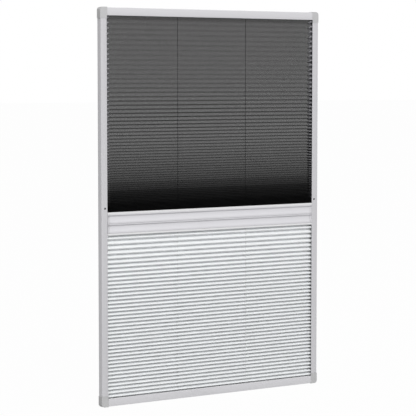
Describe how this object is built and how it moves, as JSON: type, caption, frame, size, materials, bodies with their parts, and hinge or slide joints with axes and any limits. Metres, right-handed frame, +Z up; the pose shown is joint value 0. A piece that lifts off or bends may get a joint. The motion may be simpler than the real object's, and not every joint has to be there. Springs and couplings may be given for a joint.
{
  "type": "pleated insect screen",
  "caption": "Framed window screen with a pleated insect mesh above and a pleated white shade below, each on its own sliding handle bar.",
  "frame": {"origin": "middle of the bottom rail's underside, the face that stands on the sill", "axes": "+Z up along the stiles, +Y from the room side to the window side, +X to the right seen from the room"},
  "size_m": [0.8032, 0.02, 1.2032],
  "materials": {
    "coated_aluminium": "satin powder coat, very light grey",
    "grey_plastic": "moulded, fine matt grain",
    "white_plastic": "smooth moulded",
    "insect_mesh": "pleated black net, see-through",
    "shade_fabric": "pleated white woven polyester",
    "black_cord": "thin braided cord",
    "white_cord": "thin braided cord",
    "screw_steel": "zinc-plated steel"
  },
  "bodies": {
    "frame": {"left_stile": "coated_aluminium", "right_stile": "coated_aluminium", "top_rail": "coated_aluminium", "bottom_rail": "coated_aluminium", "corner_bottom_left": "grey_plastic", "corner_bottom_right": "grey_plastic", "corner_top_left": "grey_plastic", "corner_top_right": "grey_plastic", "left_fixing_screw": "screw_steel", "right_fixing_screw": "screw_steel", "mesh_head_strip": "white_plastic", "shade_foot_strip": "white_plastic", "mesh_pleats": "insect_mesh", "shade_pleats": "shade_fabric", "mesh_cord_1_pleat_run": "black_cord", "mesh_cord_1_stile_run": "black_cord", "mesh_cord_1_stop": "white_plastic", "mesh_cord_1_cleat": "white_plastic", "mesh_cord_2_pleat_run": "black_cord", "mesh_cord_2_stile_run": "black_cord", "mesh_cord_2_stop": "white_plastic", "mesh_cord_2_cleat": "white_plastic", "shade_cord_1_pleat_run": "white_cord", "shade_cord_1_stile_run": "white_cord", "shade_cord_1_stop": "white_plastic", "shade_cord_1_cleat": "white_plastic", "shade_cord_2_pleat_run": "white_cord", "shade_cord_2_stile_run": "white_cord", "shade_cord_2_stop": "white_plastic", "shade_cord_2_cleat": "white_plastic"},
    "mesh_bar": {"mesh_bar_profile": "coated_aluminium", "mesh_bar_clip": "white_plastic", "mesh_bar_left_cap": "grey_plastic", "mesh_bar_right_cap": "grey_plastic", "mesh_bar_eyelet_1": "white_plastic", "mesh_bar_eyelet_2": "white_plastic", "mesh_cord_1_bar_run": "black_cord", "mesh_cord_2_bar_run": "black_cord"},
    "shade_bar": {"shade_bar_profile": "coated_aluminium", "shade_bar_clip": "white_plastic", "shade_bar_left_cap": "grey_plastic", "shade_bar_right_cap": "grey_plastic", "shade_bar_eyelet_1": "white_plastic", "shade_bar_eyelet_2": "white_plastic", "shade_cord_1_bar_run": "white_cord", "shade_cord_2_bar_run": "white_cord"}
  },
  "joints": [
    {"name": "mesh_bar_slide", "type": "slide", "parent": "frame", "child": "mesh_bar", "axis": [0, 0, 1], "range_m": [0, 0.515], "deforming": ["mesh_pleats", "mesh_cord_1_pleat_run", "mesh_cord_2_pleat_run", "mesh_cord_1_stile_run", "mesh_cord_2_stile_run"]},
    {"name": "shade_bar_slide", "type": "slide", "parent": "frame", "child": "shade_bar", "axis": [0, 0, 1], "range_m": [-0.445, 0], "deforming": ["shade_pleats", "shade_cord_1_pleat_run", "shade_cord_2_pleat_run", "shade_cord_1_stile_run", "shade_cord_2_stile_run"]}
  ]
}
